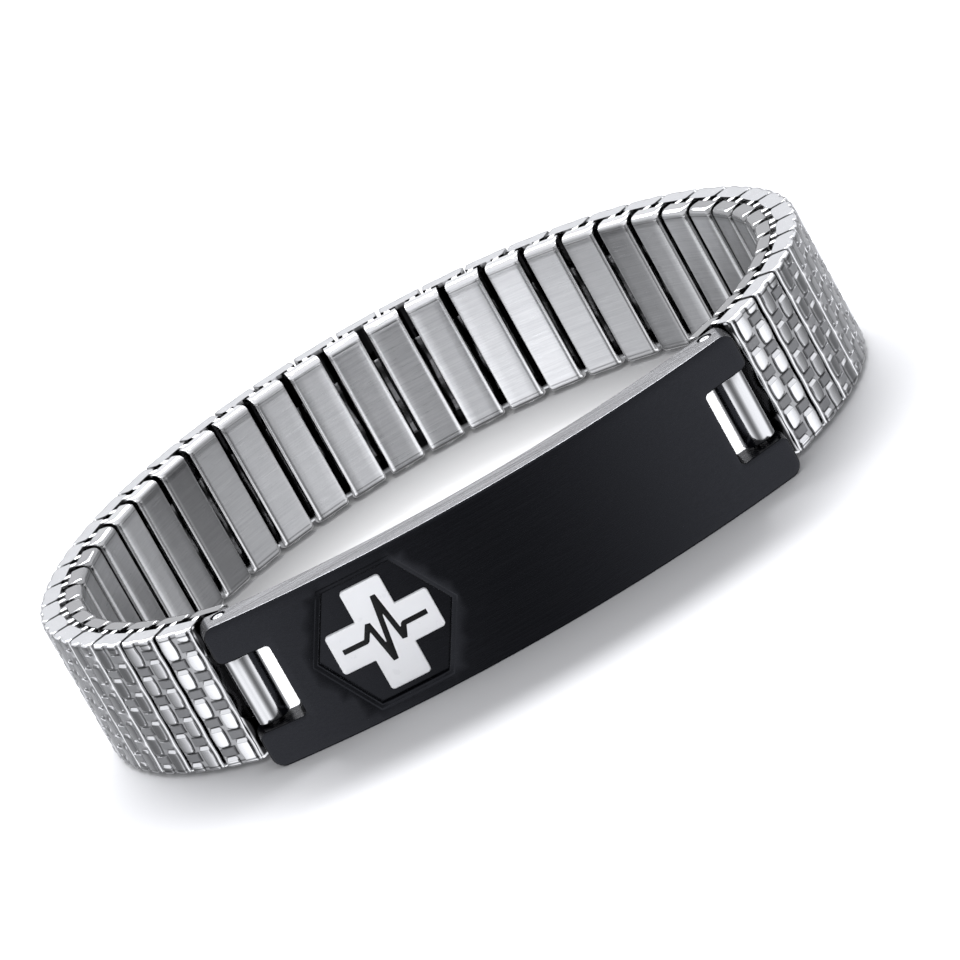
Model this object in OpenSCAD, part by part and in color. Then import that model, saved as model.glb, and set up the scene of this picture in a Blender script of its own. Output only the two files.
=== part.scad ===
// Stretch bracelet with a bowed identity plate, lying on one side edge.
// X runs along the plate, Y goes from the plate to the far side of the band, Z is the wrist axis.
// The origin is under the middle of the bracelet, on the surface it rests on.

/* [Band] */
// Height of the band along the wrist axis
band_h = 12; // [10:0.5:16]
// Thickness of the band from its raised pattern to the wrist side
band_t = 3.8; // [3.7:0.05:4.6]
// Number of links in the outer row
link_count = 37; // [31:2:43]
// Length of band that each outer link takes up
link_pitch = 4.13; // [4:0.01:4.4]
// Reach of the far bend to each side of the middle, in degrees
far_bend_half = 75; // [60:1:85]
// Radius of the side bends as a share of the far bend's radius
side_bend_share = 0.82; // [0.7:0.01:1]

/* [Outer links] */
// Gap between two outer links at the outside
outer_gap = 0.3; // [0.2:0.05:0.4]
// Sheet thickness of the embossed face
outer_face_t = 0.3; // [0.2:0.05:0.4]
// Sheet thickness of the outer links' long side walls
outer_wall_t = 0.3; // [0.2:0.05:0.35]
// Thickness of the flaps that close the ends of each link
flap_t = 0.35; // [0.25:0.05:0.5]
// Depth of the outer links' end flaps below the pattern
outer_flap_depth = 1.7; // [1.6:0.05:1.8]
// Depth of the outer links' long side walls below the pattern
outer_wall_depth = 1.45; // [1.3:0.05:1.5]
// How much an outer link narrows on each side towards the wrist
outer_draft = 0.13; // [0.08:0.01:0.2]
// Size of the cut corners of the outer end flaps
outer_flap_corner = 0.45; // [0.2:0.05:0.6]

/* [Raised pattern] */
// Height of the pattern above the sheet
relief_h = 0.2; // [0.15:0.05:0.35]
// Number of half repeats of the weave along a link
weave_rows = 9; // [7:2:11]
// Distance of each column of pads from the middle of the link
column_x = 1; // [0.95:0.05:1.05]
// Width of a pad at its foot
pad_w = 1.6; // [1.3:0.05:1.6]
// Slope of a pad's sides, measured along the sheet
pad_bevel = 0.22; // [0.1:0.02:0.3]
// Width of a cross bar
bar_w = 0.76; // [0.6:0.02:0.9]
// Gap at the foot between a pad and the next bar
pad_bar_gap = 0.06; // [0.02:0.02:0.1]

/* [Inner links] */
// Width of an inner link's face
inner_face_w = 3.25; // [3.1:0.05:3.35]
// How much an inner link narrows on each side away from the wrist
inner_draft = 0.18; // [0.1:0.01:0.22]
// Depth of the inner links' flaps and walls
inner_depth = 1.45; // [1.4:0.05:1.6]
// Sheet thickness of the inner links
inner_sheet_t = 0.25; // [0.2:0.05:0.3]
// Slope at the ends and the long edges of an inner link's face
inner_bevel = 0.35; // [0.2:0.05:0.45]

/* [Staples] */
// Width of a staple's strip along the band
staple_w = 0.6; // [0.4:0.05:0.65]
// Thickness of a staple's strip
staple_t = 0.35; // [0.25:0.05:0.4]
// Length of a staple's legs
staple_leg = 4.8; // [3:0.1:4.8]
// Clearance between a staple and the links around it
staple_clear = 0.14; // [0.1:0.02:0.2]

/* [Identity plate] */
// Length of the plate from end to end, measured straight
plate_l = 46.4; // [40:0.2:52]
// Height of the plate along the wrist axis
plate_h = 12.6; // [12:0.1:14]
// Thickness of the plate
plate_t = 3.15; // [3:0.05:3.6]
// Radius of the plate's bowed face
plate_bow_r = 65; // [50:1:120]
// Rounding of the plate's corners as seen from the front
plate_corner_r = 1; // [0.5:0.1:1.4]
// Rounding of the plate's ends at the front face
end_front_r = 0.35; // [0.2:0.05:0.5]
// Rounding of the plate's ends at the wrist side
end_back_r = 1; // [0.6:0.1:1.4]

/* [End connectors] */
// Outside diameter of the rolled tube
tube_d = 2.7; // [2.5:0.05:2.8]
// Height of the tube along the wrist axis
tube_h = 5.9; // [5:0.1:6.2]
// Gap between each end of the tube and the plate
tube_end_gap = 0.2; // [0.15:0.05:0.5]
// Gap between the tube and the bottom of its notch
notch_gap = 0.9; // [0.6:0.05:1.4]
// Rounding of the notch's inner corners
notch_corner_r = 0.35; // [0.2:0.05:0.6]
// Rounding of the notch's mouth
notch_mouth_r = 0.65; // [0.4:0.05:1]
// Distance of the pin's middle from the end of the plate
pin_from_end = 1.84; // [1.7:0.02:2.1]
// Distance of the pin's middle behind the plate's face
pin_behind_face = 2.25; // [2.15:0.05:2.3]
// Diameter of the pins
pin_d = 1; // [0.8:0.05:1.05]
// Clearance around a pin in its hole, on the diameter
pin_clear = 0.2; // [0.1:0.05:0.3]
// How far each end of a pin stays below the plate's edge
pin_sink = 0.05; // [0.05:0.05:0.4]
// Distance of the pin's middle from the band's end, along the band
pin_reach = 2.63; // [2.5:0.01:3]
// Depth of the pin's middle below the band's pattern
pin_depth = 0.55; // [0.5:0.01:0.6]
// Thickness of the tongue that goes into the band
tongue_t = 0.38; // [0.3:0.01:0.4]
// Length of tongue that lies between the two rows of links
tongue_in = 2.2; // [1.5:0.1:2.4]

/* [Emblem] */
// Distance of the emblem's middle from the middle of the plate, along the face
emblem_x = 11; // [8:0.1:12]
// Width of the hexagonal border across its corners
hex_w = 12.5; // [11.5:0.1:13]
// Width of the border around the recess
hex_border = 0.5; // [0.3:0.05:0.7]
// Depth of the border below the face
border_depth = 0.12; // [0.08:0.02:0.2]
// Depth of the recess below the face
recess_depth = 0.5; // [0.4:0.05:0.8]
// Length of each bar of the cross
cross_l = 8.8; // [7:0.1:9]
// Width of each bar of the cross
cross_w = 3.4; // [2.6:0.1:3.8]
// Rounding of the cross's corners
cross_corner_r = 0.3; // [0.1:0.05:0.5]
// Thickness of the cross's enamel
enamel_t = 0.35; // [0.25:0.05:0.4]
// Width of the pulse line
pulse_w = 0.42; // [0.3:0.02:0.5]
// Depth of the pulse line in the cross
pulse_depth = 0.2; // [0.1:0.05:0.2]

/* [Hidden] */
$fn = 64;
// Extra length of a cut past the solid that it opens, small and large
eps = 0.02;
past = 1;
// Seam between an inlay and its seat
seam = 0.01;
// Number of sides of the plate's large bow
bow_fn = 720;

// Middle height of the bracelet, and the foot of the band
mid_z = plate_h/2;
band_z = mid_z - band_h/2;

// Distance from the bow's centre, along Y, to where a bow of this radius reaches this far sideways
function along_bow(r, x) = sqrt(pow(r, 2) - pow(x, 2));

// Loop of the band: a far bend and two tighter side bends, as wide as the plate asks
half_band = link_count*link_pitch/2;
pin_r = plate_bow_r - pin_behind_face;
pin_x = plate_l/2 - pin_from_end;
pin_to_bow = along_bow(pin_r, pin_x);

// Radius of the far bend for a band that has turned by this angle where it ends
function far_r_for(turn) =
    half_band*180/PI/(far_bend_half + side_bend_share*(turn - far_bend_half));

// Sideways place of the pin for a band that has turned by this angle where it ends
function pin_x_for(turn) =
    let (r = far_r_for(turn))
    r*(1 - side_bend_share)*sin(far_bend_half) + r*side_bend_share*sin(turn)
    + pin_reach*cos(turn) - pin_depth*sin(turn);

// Turn at the band's end that brings the pin to the plate, found by halving the range
function end_turn_between(low, high, steps) =
    let (middle = (low + high)/2)
    steps == 0 ? middle
    : pin_x_for(middle) > pin_x ? end_turn_between(middle, high, steps - 1)
    : end_turn_between(low, middle, steps - 1);

end_turn = end_turn_between(95, 178, 40);
far_r = far_r_for(end_turn);
side_r = far_r*side_bend_share;
far_bend_l = far_r*far_bend_half*PI/180;

// Turn of the band, in degrees, at a length s from the far middle, positive towards +X
function band_turn(s) =
    let (side_l = max(abs(s) - far_bend_l, 0))
    sign(s)*(min(abs(s), far_bend_l)/far_r + side_l/side_r)*180/PI;

// Plan point at length s, moved by u along the band and by a depth towards the wrist
function band_point(s, u = 0, depth = 0) =
    let (
        turn = band_turn(s),
        shift = abs(turn) > far_bend_half ? far_r - side_r : 0,
        r = abs(turn) > far_bend_half ? side_r : far_r
    )
    [
        sign(s)*shift*sin(far_bend_half) + (r - depth)*sin(turn) + u*cos(turn),
        far_y - far_r + shift*cos(far_bend_half) + (r - depth)*cos(turn) - u*sin(turn)
    ];

// Depth of the whole bracelet, with the far middle of the band at far_y
pin_to_far = far_r - (far_r - side_r)*cos(far_bend_half) - (side_r - pin_depth)*cos(end_turn)
    + pin_reach*sin(end_turn);
face_to_pin = plate_bow_r - pin_to_bow;
loop_depth = pin_to_far + face_to_pin;
far_y = loop_depth/2;
bow_centre_y = -loop_depth/2 + plate_bow_r;

// Sizes of the links
outer_w = link_pitch - outer_gap;
outer_cavity_w = outer_w - 2*outer_wall_t;
inner_depth_top = band_t - inner_depth;
inner_cavity_w = inner_face_w - 2*inner_sheet_t;
inner_cavity_bevel = inner_bevel - inner_sheet_t*(2 - sqrt(2));
row_pitch = band_h/weave_rows;
inner_count = link_count + 1;

// Place of the staples' legs: beside the long walls of the links that they hold
staple_outer_x = outer_cavity_w/2 - outer_draft - staple_clear - staple_w/2;
staple_inner_x = inner_cavity_w/2 - inner_draft - staple_clear - staple_w/2;

// Sizes of the notch, and of the holes for the pins
notch_l = pin_from_end + tube_d/2 + notch_gap;
notch_h = tube_h + 2*tube_end_gap;
pin_hole_d = pin_d + pin_clear;

// Thickness of the plate along Y at its square-cut ends
face_at_end = along_bow(plate_bow_r, plate_l/2);
end_t = face_at_end - along_bow(plate_bow_r - plate_t, plate_l/2);

// Corners of the pulse line, across and up, as shares of half the cross
pulse = [
    [-0.82, 0], [-0.36, 0], [-0.2, 0.27], [-0.06, -0.52], [0.12, 0.7], [0.26, -0.24], [0.36, 0], [0.82, 0]
];

function two_digits(i) = i < 10 ? str("0", i) : str(i);
function outer_name(i) = str("outer_link_", two_digits(i));

// Places a piece on the band: its X runs along the band, its Y points outwards, Y = 0 is the pattern's top
module on_band(s) {
    at = band_point(s);
    translate([at[0], at[1], band_z]) rotate([0, 0, -band_turn(s)]) children();
}

// Places a piece on the plate: its X runs along the plate, its Y points to the wrist, Y = 0 is the face
module on_plate(angle) {
    translate([0, bow_centre_y, 0]) rotate([0, 0, angle]) translate([0, -plate_bow_r, 0]) children();
}

// Mirrors what is drawn for +X when the side is -1
module on_side(side) {
    if (side < 0) mirror([1, 0, 0]) children();
    else children();
}

// Outline of an outer link's channel, from the sheet down to the ends of its walls
module outer_channel_outline() {
    top = outer_w/2;
    foot = top - outer_draft;
    polygon([[-top, -relief_h], [top, -relief_h], [foot, -outer_wall_depth], [-foot, -outer_wall_depth]]);
}

// Outline of an outer link's end flap, with its corners cut at the wrist side
module outer_flap_outline() {
    top = outer_w/2;
    foot = top - outer_draft;
    corner_y = -outer_flap_depth + outer_flap_corner;
    polygon([
        [-top, -relief_h], [top, -relief_h], [foot, corner_y], [foot - outer_flap_corner, -outer_flap_depth],
        [-foot + outer_flap_corner, -outer_flap_depth], [-foot, corner_y]
    ]);
}

// Hollow of an outer link, open towards the wrist
module outer_cavity_outline() {
    top = outer_cavity_w/2;
    foot = top - outer_draft;
    ceiling = -relief_h - outer_face_t;
    bottom = -outer_flap_depth - eps;
    polygon([[-top, ceiling], [top, ceiling], [foot, bottom], [-foot, bottom]]);
}

// A flat pad with sloping sides, standing on the sheet between two heights
module pad(low, high) {
    intersection() {
        translate([0, 0, low]) linear_extrude(high - low) polygon([
            [-pad_w/2, -relief_h - outer_face_t/2], [pad_w/2, -relief_h - outer_face_t/2],
            [pad_w/2, -relief_h], [pad_w/2 - pad_bevel, 0], [-pad_w/2 + pad_bevel, 0], [-pad_w/2, -relief_h]
        ]);
        rotate([90, 0, 90]) linear_extrude(pad_w + 2*eps, center = true) polygon([
            [-relief_h - outer_face_t/2, low], [-relief_h, low], [0, low + pad_bevel],
            [0, high - pad_bevel], [-relief_h, high], [-relief_h - outer_face_t/2, high]
        ]);
    }
}

// Outline of a cross bar: a low arch on the sheet
module bar_outline() {
    arch_r = (bar_w*bar_w/4 + relief_h*relief_h)/(2*relief_h);
    intersection() {
        translate([-arch_r, 0]) circle(arch_r);
        translate([-relief_h - outer_face_t/2, -bar_w/2]) square([relief_h + outer_face_t, bar_w]);
    }
}

// A rounded cross bar from the middle of the link to one long edge
module bar(side, z) {
    bar_l = outer_w/2 - eps;
    translate([side*bar_l/2, 0, z]) rotate([90, 0, 90])
        linear_extrude(bar_l, center = true) bar_outline();
}

// Basket weave: pads and bars take turns in two columns that are half a repeat apart
module weave() {
    clear = bar_w/2 + pad_bar_gap;
    for (side = [-1, 1]) {
        first = side > 0 ? 2 : 1;
        for (row = [first:2:weave_rows - 1]) bar(side, band_h - row*row_pitch);
        for (row = [first - 2:2:weave_rows - 1]) {
            high = row < 1 ? band_h : band_h - row*row_pitch - clear;
            low = row + 2 > weave_rows - 1 ? 0 : band_h - (row + 2)*row_pitch + clear;
            translate([side*column_x, 0, 0]) pad(low, high);
        }
    }
}

// One hollow link of the outer row, with its pattern on the outside
module outer_link(i) {
    color("silver") on_band((i - (link_count + 1)/2)*link_pitch) {
        difference() {
            union() {
                linear_extrude(band_h) outer_channel_outline();
                for (z = [0, band_h - flap_t])
                    translate([0, 0, z]) linear_extrude(flap_t) outer_flap_outline();
            }
            translate([0, 0, flap_t]) linear_extrude(band_h - 2*flap_t) outer_cavity_outline();
        }
        weave();
    }
}

// Outline of an inner link, with sloping edges at the wrist side
module inner_outline() {
    face = inner_face_w/2;
    top = face - inner_draft;
    polygon([
        [-top, -inner_depth_top], [top, -inner_depth_top], [face, -band_t + inner_bevel],
        [face - inner_bevel, -band_t], [-face + inner_bevel, -band_t], [-face, -band_t + inner_bevel]
    ]);
}

// Hollow of an inner link, open away from the wrist
module inner_cavity_outline() {
    face = inner_cavity_w/2;
    top = face - inner_draft;
    bottom = -band_t + inner_sheet_t;
    bevel = inner_cavity_bevel;
    polygon([
        [-top, -inner_depth_top + eps], [top, -inner_depth_top + eps], [face, bottom + bevel],
        [face - bevel, bottom], [-face + bevel, bottom], [-face, bottom + bevel]
    ]);
}

// Side view of an inner link, with its face bent round to the end flaps
module inner_side_outline() {
    polygon([
        [-inner_depth_top + eps, 0], [-band_t + inner_bevel, 0], [-band_t - eps, inner_bevel + eps],
        [-band_t - eps, band_h - inner_bevel - eps], [-band_t + inner_bevel, band_h],
        [-inner_depth_top + eps, band_h]
    ]);
}

// One hollow link of the inner row
module inner_link(s) {
    on_band(s) difference() {
        intersection() {
            linear_extrude(band_h) inner_outline();
            rotate([90, 0, 90]) linear_extrude(inner_face_w + 2*eps, center = true) inner_side_outline();
        }
        translate([0, 0, flap_t]) linear_extrude(band_h - 2*flap_t) inner_cavity_outline();
    }
}

// The row of links on the wrist side, half a link apart from the outer row
module inner_links() {
    color("gainsboro")
        for (i = [0:inner_count - 1]) inner_link((i - (inner_count - 1)/2)*link_pitch);
}

// A staple from an outer link to the inner link next to it: a strip bent to a U that opens downwards
module staple(outer_s, side) {
    outer_leg = band_point(outer_s, side*staple_outer_x, relief_h + outer_face_t + staple_clear);
    inner_leg = band_point(
        outer_s + side*link_pitch/2, -side*staple_inner_x,
        band_t - inner_sheet_t - inner_cavity_bevel - staple_clear
    );
    d = inner_leg - outer_leg;
    span = norm(d);
    translate([outer_leg[0], outer_leg[1], -flap_t - staple_clear]) rotate([90, 0, atan2(d[1], d[0])])
        linear_extrude(staple_w, center = true) polygon([
            [0, 0], [span, 0], [span, -staple_leg], [span - staple_t, -staple_leg],
            [span - staple_t, -staple_t], [staple_t, -staple_t], [staple_t, -staple_leg], [0, -staple_leg]
        ]);
}

// All staples, pushed in from both side edges of the band
module link_staples() {
    color("lightgray")
        for (i = [0:link_count - 1], side = [-1, 1], edge = [-1, 1])
            translate([0, 0, mid_z]) mirror([0, 0, edge < 0 ? 1 : 0]) translate([0, 0, band_h/2])
                staple((i - (link_count - 1)/2)*link_pitch, side);
}

// Ring sector between two radii of the plate's bow, as tall as is asked
module bow_ring(outer_r, inner_r, h) {
    translate([0, bow_centre_y, 0]) difference() {
        cylinder(h = h, r = outer_r, $fn = bow_fn);
        translate([0, 0, -eps]) cylinder(h = h + 2*eps, r = inner_r, $fn = bow_fn);
    }
}

// Room in front of the bow's centre, between the two square-cut ends of the plate
module between_ends(h) {
    translate([-plate_l/2, bow_centre_y - plate_bow_r - past, 0]) cube([plate_l, plate_bow_r, h]);
}

// Places a piece at the right end of the plate: its X is level, its Y points to the wrist, Y = 0 is the face
module on_end() {
    translate([plate_l/2, bow_centre_y - face_at_end, 0]) children();
}

// Waste outside the rounding between the plate's end and one of its bowed faces, drawn as on_end places it.
// The way out of the solid is 1 where the bow's outside is the face and -1 where its inside is.
module end_waste(r, face_r, way_out) {
    bow_centre = [-plate_l/2, face_at_end];
    round_r = face_r - way_out*r;
    centre = [-r, face_at_end - along_bow(round_r, plate_l/2 - r)];
    to_face = (centre - bow_centre)/round_r;
    corner = [0, face_at_end - along_bow(face_r, plate_l/2)];
    difference() {
        polygon([
            centre, [eps, centre[1]], corner + [eps, -way_out*eps], bow_centre + to_face*(face_r + way_out*eps)
        ]);
        translate(centre) circle(r);
    }
}

// Waste outside a rounded corner of radius r: the corner is at the origin and the solid towards -X, +Y
module corner_waste(r) {
    difference() {
        translate([-r, -eps]) square([r + eps, r + eps]);
        translate([-r, r]) circle(r);
    }
}

// Opening of a notch as seen from the front, from the plate's end inwards, with a rounded mouth
module notch_outline() {
    r = notch_corner_r;
    translate([-notch_l, mid_z - notch_h/2]) difference() {
        square([notch_l + past, notch_h]);
        for (z = [0, notch_h]) mirror([0, z > 0 ? 1 : 0]) translate([0, z > 0 ? -notch_h : 0]) difference() {
            translate([-eps, -eps]) square([r + eps, r + eps]);
            translate([r, r]) circle(r);
        }
    }
    for (side = [-1, 1]) translate([0, mid_z + side*notch_h/2]) mirror([0, side < 0 ? 1 : 0])
        corner_waste(notch_mouth_r);
}

// The black plate: bowed, with rounded ends, notches, pin holes and the hexagonal recess
module id_plate() {
    color([0.1, 0.1, 0.11]) difference() {
        intersection() {
            bow_ring(plate_bow_r, plate_bow_r - plate_t, plate_h);
            between_ends(plate_h);
        }
        for (side = [-1, 1]) on_side(side) on_end() {
            translate([0, 0, -eps]) linear_extrude(plate_h + 2*eps) {
                end_waste(end_front_r, plate_bow_r, 1);
                end_waste(end_back_r, plate_bow_r - plate_t, -1);
            }
            translate([0, end_t + past, 0]) rotate([90, 0, 0]) linear_extrude(2*end_t + past) {
                notch_outline();
                corner_waste(plate_corner_r);
                translate([0, plate_h]) mirror([0, 1]) corner_waste(plate_corner_r);
            }
        }
        for (side = [-1, 1]) translate([side*pin_x, bow_centre_y - pin_to_bow, -eps])
            cylinder(h = plate_h + 2*eps, d = pin_hole_d);
        sunk_in_face(border_depth, -1) hexagon(hex_w);
        sunk_in_face(recess_depth, -1) hexagon(hex_w - 2*hex_border);
    }
}

// Keeps what lies between two depths below the face, in the shape of a flat outline seen from the front
module sunk_in_face(low, high) {
    emblem_angle = -emblem_x/plate_bow_r*180/PI;
    intersection() {
        on_plate(emblem_angle) translate([0, plate_t/2, mid_z]) rotate([90, 0, 0])
            linear_extrude(plate_t) children();
        bow_ring(plate_bow_r - high, plate_bow_r - low, plate_h);
    }
}

module hexagon(across) {
    circle(d = across, $fn = 6);
}

// A rectangle with rounded corners, about the origin
module rounded_bar(l, w, r) {
    square([l - 2*r, w], center = true);
    square([l, w - 2*r], center = true);
    for (x = [-1, 1], y = [-1, 1]) translate([x*(l/2 - r), y*(w/2 - r)]) circle(r);
}

// Unit vector to the left of the way from one point to another
function left_of(a, b) = [a[1] - b[1], b[0] - a[0]]/norm(b - a);

// One edge of a stroke along a line of points: corners are met inside a turn and cut off outside it
function stroke_edge(line, half_w) = concat(
    [line[0] + left_of(line[0], line[1])*half_w],
    [for (i = [1:len(line) - 2])
        let (
            before = left_of(line[i - 1], line[i]),
            after = left_of(line[i], line[i + 1]),
            turns_left = before[0]*after[1] - before[1]*after[0] > 0,
            meeting = (before + after)/(1 + before*after)
        )
        each (turns_left ? [line[i] + meeting*half_w] : [line[i] + before*half_w, line[i] + after*half_w])
    ],
    [line[len(line) - 1] + left_of(line[len(line) - 2], line[len(line) - 1])*half_w]
);

// Outline of the pulse line
module pulse_outline(w) {
    line = pulse*cross_l/2;
    back = [for (i = [1:len(line)]) line[len(line) - i]];
    polygon(concat(stroke_edge(line, w/2), stroke_edge(back, w/2)));
}

enamel_top = recess_depth - enamel_t;

// White enamel cross on the floor of the recess, with the groove of the pulse line
module emblem_cross() {
    color("white") difference() {
        sunk_in_face(recess_depth - seam, enamel_top) {
            rounded_bar(cross_l, cross_w, cross_corner_r);
            rounded_bar(cross_w, cross_l, cross_corner_r);
        }
        sunk_in_face(enamel_top + pulse_depth, -1) pulse_outline(pulse_w + 2*seam);
    }
}

// Black line in the groove of the cross
module pulse_line() {
    color([0.05, 0.05, 0.06])
        sunk_in_face(enamel_top + pulse_depth - seam, enamel_top) pulse_outline(pulse_w);
}

// Rolled tube with its tongue, on the side of +X
module end_connector() {
    tongue_depth = pin_depth + tube_d/2;
    z = mid_z - tube_h/2 - band_z;
    color("lightgray") on_band(half_band) difference() {
        union() {
            translate([pin_reach, -pin_depth, z]) cylinder(h = tube_h, d = tube_d);
            translate([-tongue_in, -tongue_depth, z]) cube([tongue_in + pin_reach, tongue_t, tube_h]);
        }
        translate([pin_reach, -pin_depth, z - eps]) cylinder(h = tube_h + 2*eps, d = pin_hole_d);
    }
}

module end_connector_right() {
    end_connector();
}

module end_connector_left() {
    mirror([1, 0, 0]) end_connector();
}

// Straight pin through the ears and the tube
module pin(side) {
    color("whitesmoke") translate([side*pin_x, bow_centre_y - pin_to_bow, pin_sink])
        cylinder(h = plate_h - 2*pin_sink, d = pin_d);
}

id_plate();
emblem_cross();
pulse_line();
end_connector_left();
end_connector_right();
pin(-1);  // pin_left
pin(1);  // pin_right
inner_links();
link_staples();
for (i = [1:link_count]) outer_link(i);
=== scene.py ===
import math

import bmesh
import bpy
import numpy as np
from mathutils import Matrix, Vector
from mathutils.geometry import delaunay_2d_cdt


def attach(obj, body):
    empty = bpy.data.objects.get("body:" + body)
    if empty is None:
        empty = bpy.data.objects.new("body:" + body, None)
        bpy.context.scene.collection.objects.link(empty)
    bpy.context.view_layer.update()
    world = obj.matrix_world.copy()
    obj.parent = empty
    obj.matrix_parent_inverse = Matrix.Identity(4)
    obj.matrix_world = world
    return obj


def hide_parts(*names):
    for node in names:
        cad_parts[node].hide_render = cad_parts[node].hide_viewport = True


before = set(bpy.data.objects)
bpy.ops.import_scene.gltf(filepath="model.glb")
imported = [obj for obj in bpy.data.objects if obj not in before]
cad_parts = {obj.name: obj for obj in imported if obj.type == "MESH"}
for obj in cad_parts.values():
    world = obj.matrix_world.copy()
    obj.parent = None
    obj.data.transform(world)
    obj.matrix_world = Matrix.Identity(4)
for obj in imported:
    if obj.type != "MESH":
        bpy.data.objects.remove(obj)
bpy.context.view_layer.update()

mm = 0.001

# Camera
# The photograph is taken with a long lens from two thirds of a metre in front of the plate, looking down
# on the bracelet, and the frame is turned so that the upright band leans across the picture.
camera_place = np.array([-16.94, -677.22, 205.76])*mm
camera_focus_px = 8928.7
camera_turn, camera_tilt, camera_roll = np.radians([1.588, 16.562, 29.246])
photo_px, sensor_w = 960, 36
ahead = np.array([
    math.sin(camera_turn)*math.cos(camera_tilt), math.cos(camera_turn)*math.cos(camera_tilt),
    -math.sin(camera_tilt)
])
level = np.array([math.cos(camera_turn), -math.sin(camera_turn), 0])
upright = np.cross(level, ahead)
to_right = math.cos(camera_roll)*level - math.sin(camera_roll)*upright
to_top = math.sin(camera_roll)*level + math.cos(camera_roll)*upright
camera_data = bpy.data.cameras.new("camera")
camera_data.sensor_width = sensor_w
camera_data.lens = camera_focus_px*sensor_w/photo_px
camera_data.clip_end = 50
camera = bpy.data.objects.new("camera", camera_data)
camera.matrix_world = Matrix(np.vstack([
    np.column_stack([to_right, to_top, -ahead, camera_place]), [0, 0, 0, 1]
]).tolist())
bpy.context.scene.collection.objects.link(camera)
bpy.context.scene.camera = camera

# Studio
# A white table in a large, faintly blue tent of light. The tent's lower part, which the upright steel
# mirrors, is toned by direction. A long softbox behind throws the soft shadow forwards, and a small spot
# above brightens the table inside the loop.


def add_node(tree, kind, settings=None, **inputs):
    """Adds a shader node, sets its properties, and fills or links its inputs by name or place."""
    made = tree.nodes.new("ShaderNode" + kind)
    for name, value in (settings or {}).items():
        setattr(made, name, value)
    for name, value in inputs.items():
        socket = made.inputs[int(name[1:])] if name[0] == "i" and name[1:].isdigit() else \
            made.inputs[name.replace("_", " ")]
        if isinstance(value, bpy.types.NodeSocket):
            tree.links.new(value, socket)
        else:
            socket.default_value = value
    return made


def toned(tree, factor, stops):
    """A colour ramp of greys: stops are pairs of place and brightness."""
    made = add_node(tree, "ValToRGB", i0=factor)
    ramp = made.color_ramp
    while len(ramp.elements) < len(stops):
        ramp.elements.new(0.5)
    for element, (place, grey) in zip(ramp.elements, stops):
        element.position = place
        element.color = (grey, grey, grey, 1)
    return made.outputs[0]


tent_scale = 2.4
tent_tones = [
    (0, 1.3), (8, 0.8), (15, 0.42), (24, 0.2), (32, 0.13), (42, 0.24), (49, 0.36), (66, 0.46), (90, 0.5),
    (106, 0.45), (120, 0.38), (131, 0.28), (140, 0.16), (148, 0.14), (156, 0.22), (165, 0.44), (173, 0.9),
    (182, 1.3), (200, 1.25), (214, 1.1), (226, 1.25), (235, 1.25), (249, 0.6), (256, 0.34), (263, 0.22),
    (271, 0.18), (284, 0.38), (292, 0.7), (303, 1.2), (335, 1.3)
]
tent_heights = [
    (-1, 0.12), (-0.9, 0.12), (-0.6, 0), (-0.1, 0), (-0.06, 0.04), (0.09, 0.04), (0.16, 0.95), (1, 1)
]
softbox_glow = 25
softbox_place = (0, 0.731, 0.682)
softbox_spread, softbox_rim = 0.36, 0.965
tent_tint = (0.985, 0.993, 1.03)
world = bpy.data.worlds.new("light_tent")
bpy.context.scene.world = world
world.use_nodes = True
tent = world.node_tree
tent.nodes.clear()
way = add_node(tent, "SeparateXYZ", i0=add_node(tent, "TexCoord").outputs["Generated"])
heading = add_node(tent, "Math", {"operation": "ARCTAN2"}, i0=way.outputs[1], i1=way.outputs[0])
heading = add_node(tent, "Math", {"operation": "DIVIDE"}, i0=heading.outputs[0], i1=2*math.pi)
heading = add_node(tent, "Math", {"operation": "FRACT"}, i0=heading.outputs[0])
around = toned(tent, heading.outputs[0], [(a/360, v/tent_scale) for a, v in tent_tones])
height = add_node(tent, "MapRange", i0=way.outputs[2], i1=-1.0, i2=1.0, i3=0.0, i4=1.0).outputs[0]
by_height = toned(tent, height, [((z + 1)/2, v/tent_scale) for z, v in tent_heights])
below = toned(tent, height, [(0.05, 0), (0.2, 1), (0.45, 1), (0.48, 0.5), (0.55, 0.5), (0.58, 0)])
glow = add_node(tent, "Math", {"operation": "MULTIPLY_ADD"}, i0=around, i1=below, i2=by_height)
wide = add_node(
    tent, "VectorMath", {"operation": "MULTIPLY"}, i0=add_node(tent, "TexCoord").outputs["Generated"],
    i1=(softbox_spread, 1, 1)
)
wide = add_node(tent, "VectorMath", {"operation": "NORMALIZE"}, i0=wide.outputs[0])
near_box = add_node(tent, "VectorMath", {"operation": "DOT_PRODUCT"}, i0=wide.outputs[0], i1=softbox_place)
softbox = add_node(
    tent, "MapRange", i0=near_box.outputs["Value"], i1=softbox_rim, i2=1.0, i3=0.0,
    i4=softbox_glow/tent_scale
)
glow = add_node(tent, "Math", {"operation": "ADD"}, i0=glow.outputs[0], i1=softbox.outputs[0])
cool = add_node(tent, "VectorMath", {"operation": "SCALE"}, i0=tent_tint, Scale=glow.outputs[0])
background = add_node(tent, "Background", Color=cool.outputs[0], Strength=tent_scale)
add_node(tent, "OutputWorld", Surface=background.outputs[0])
bpy.context.scene.view_settings.view_transform = "Standard"

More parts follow.
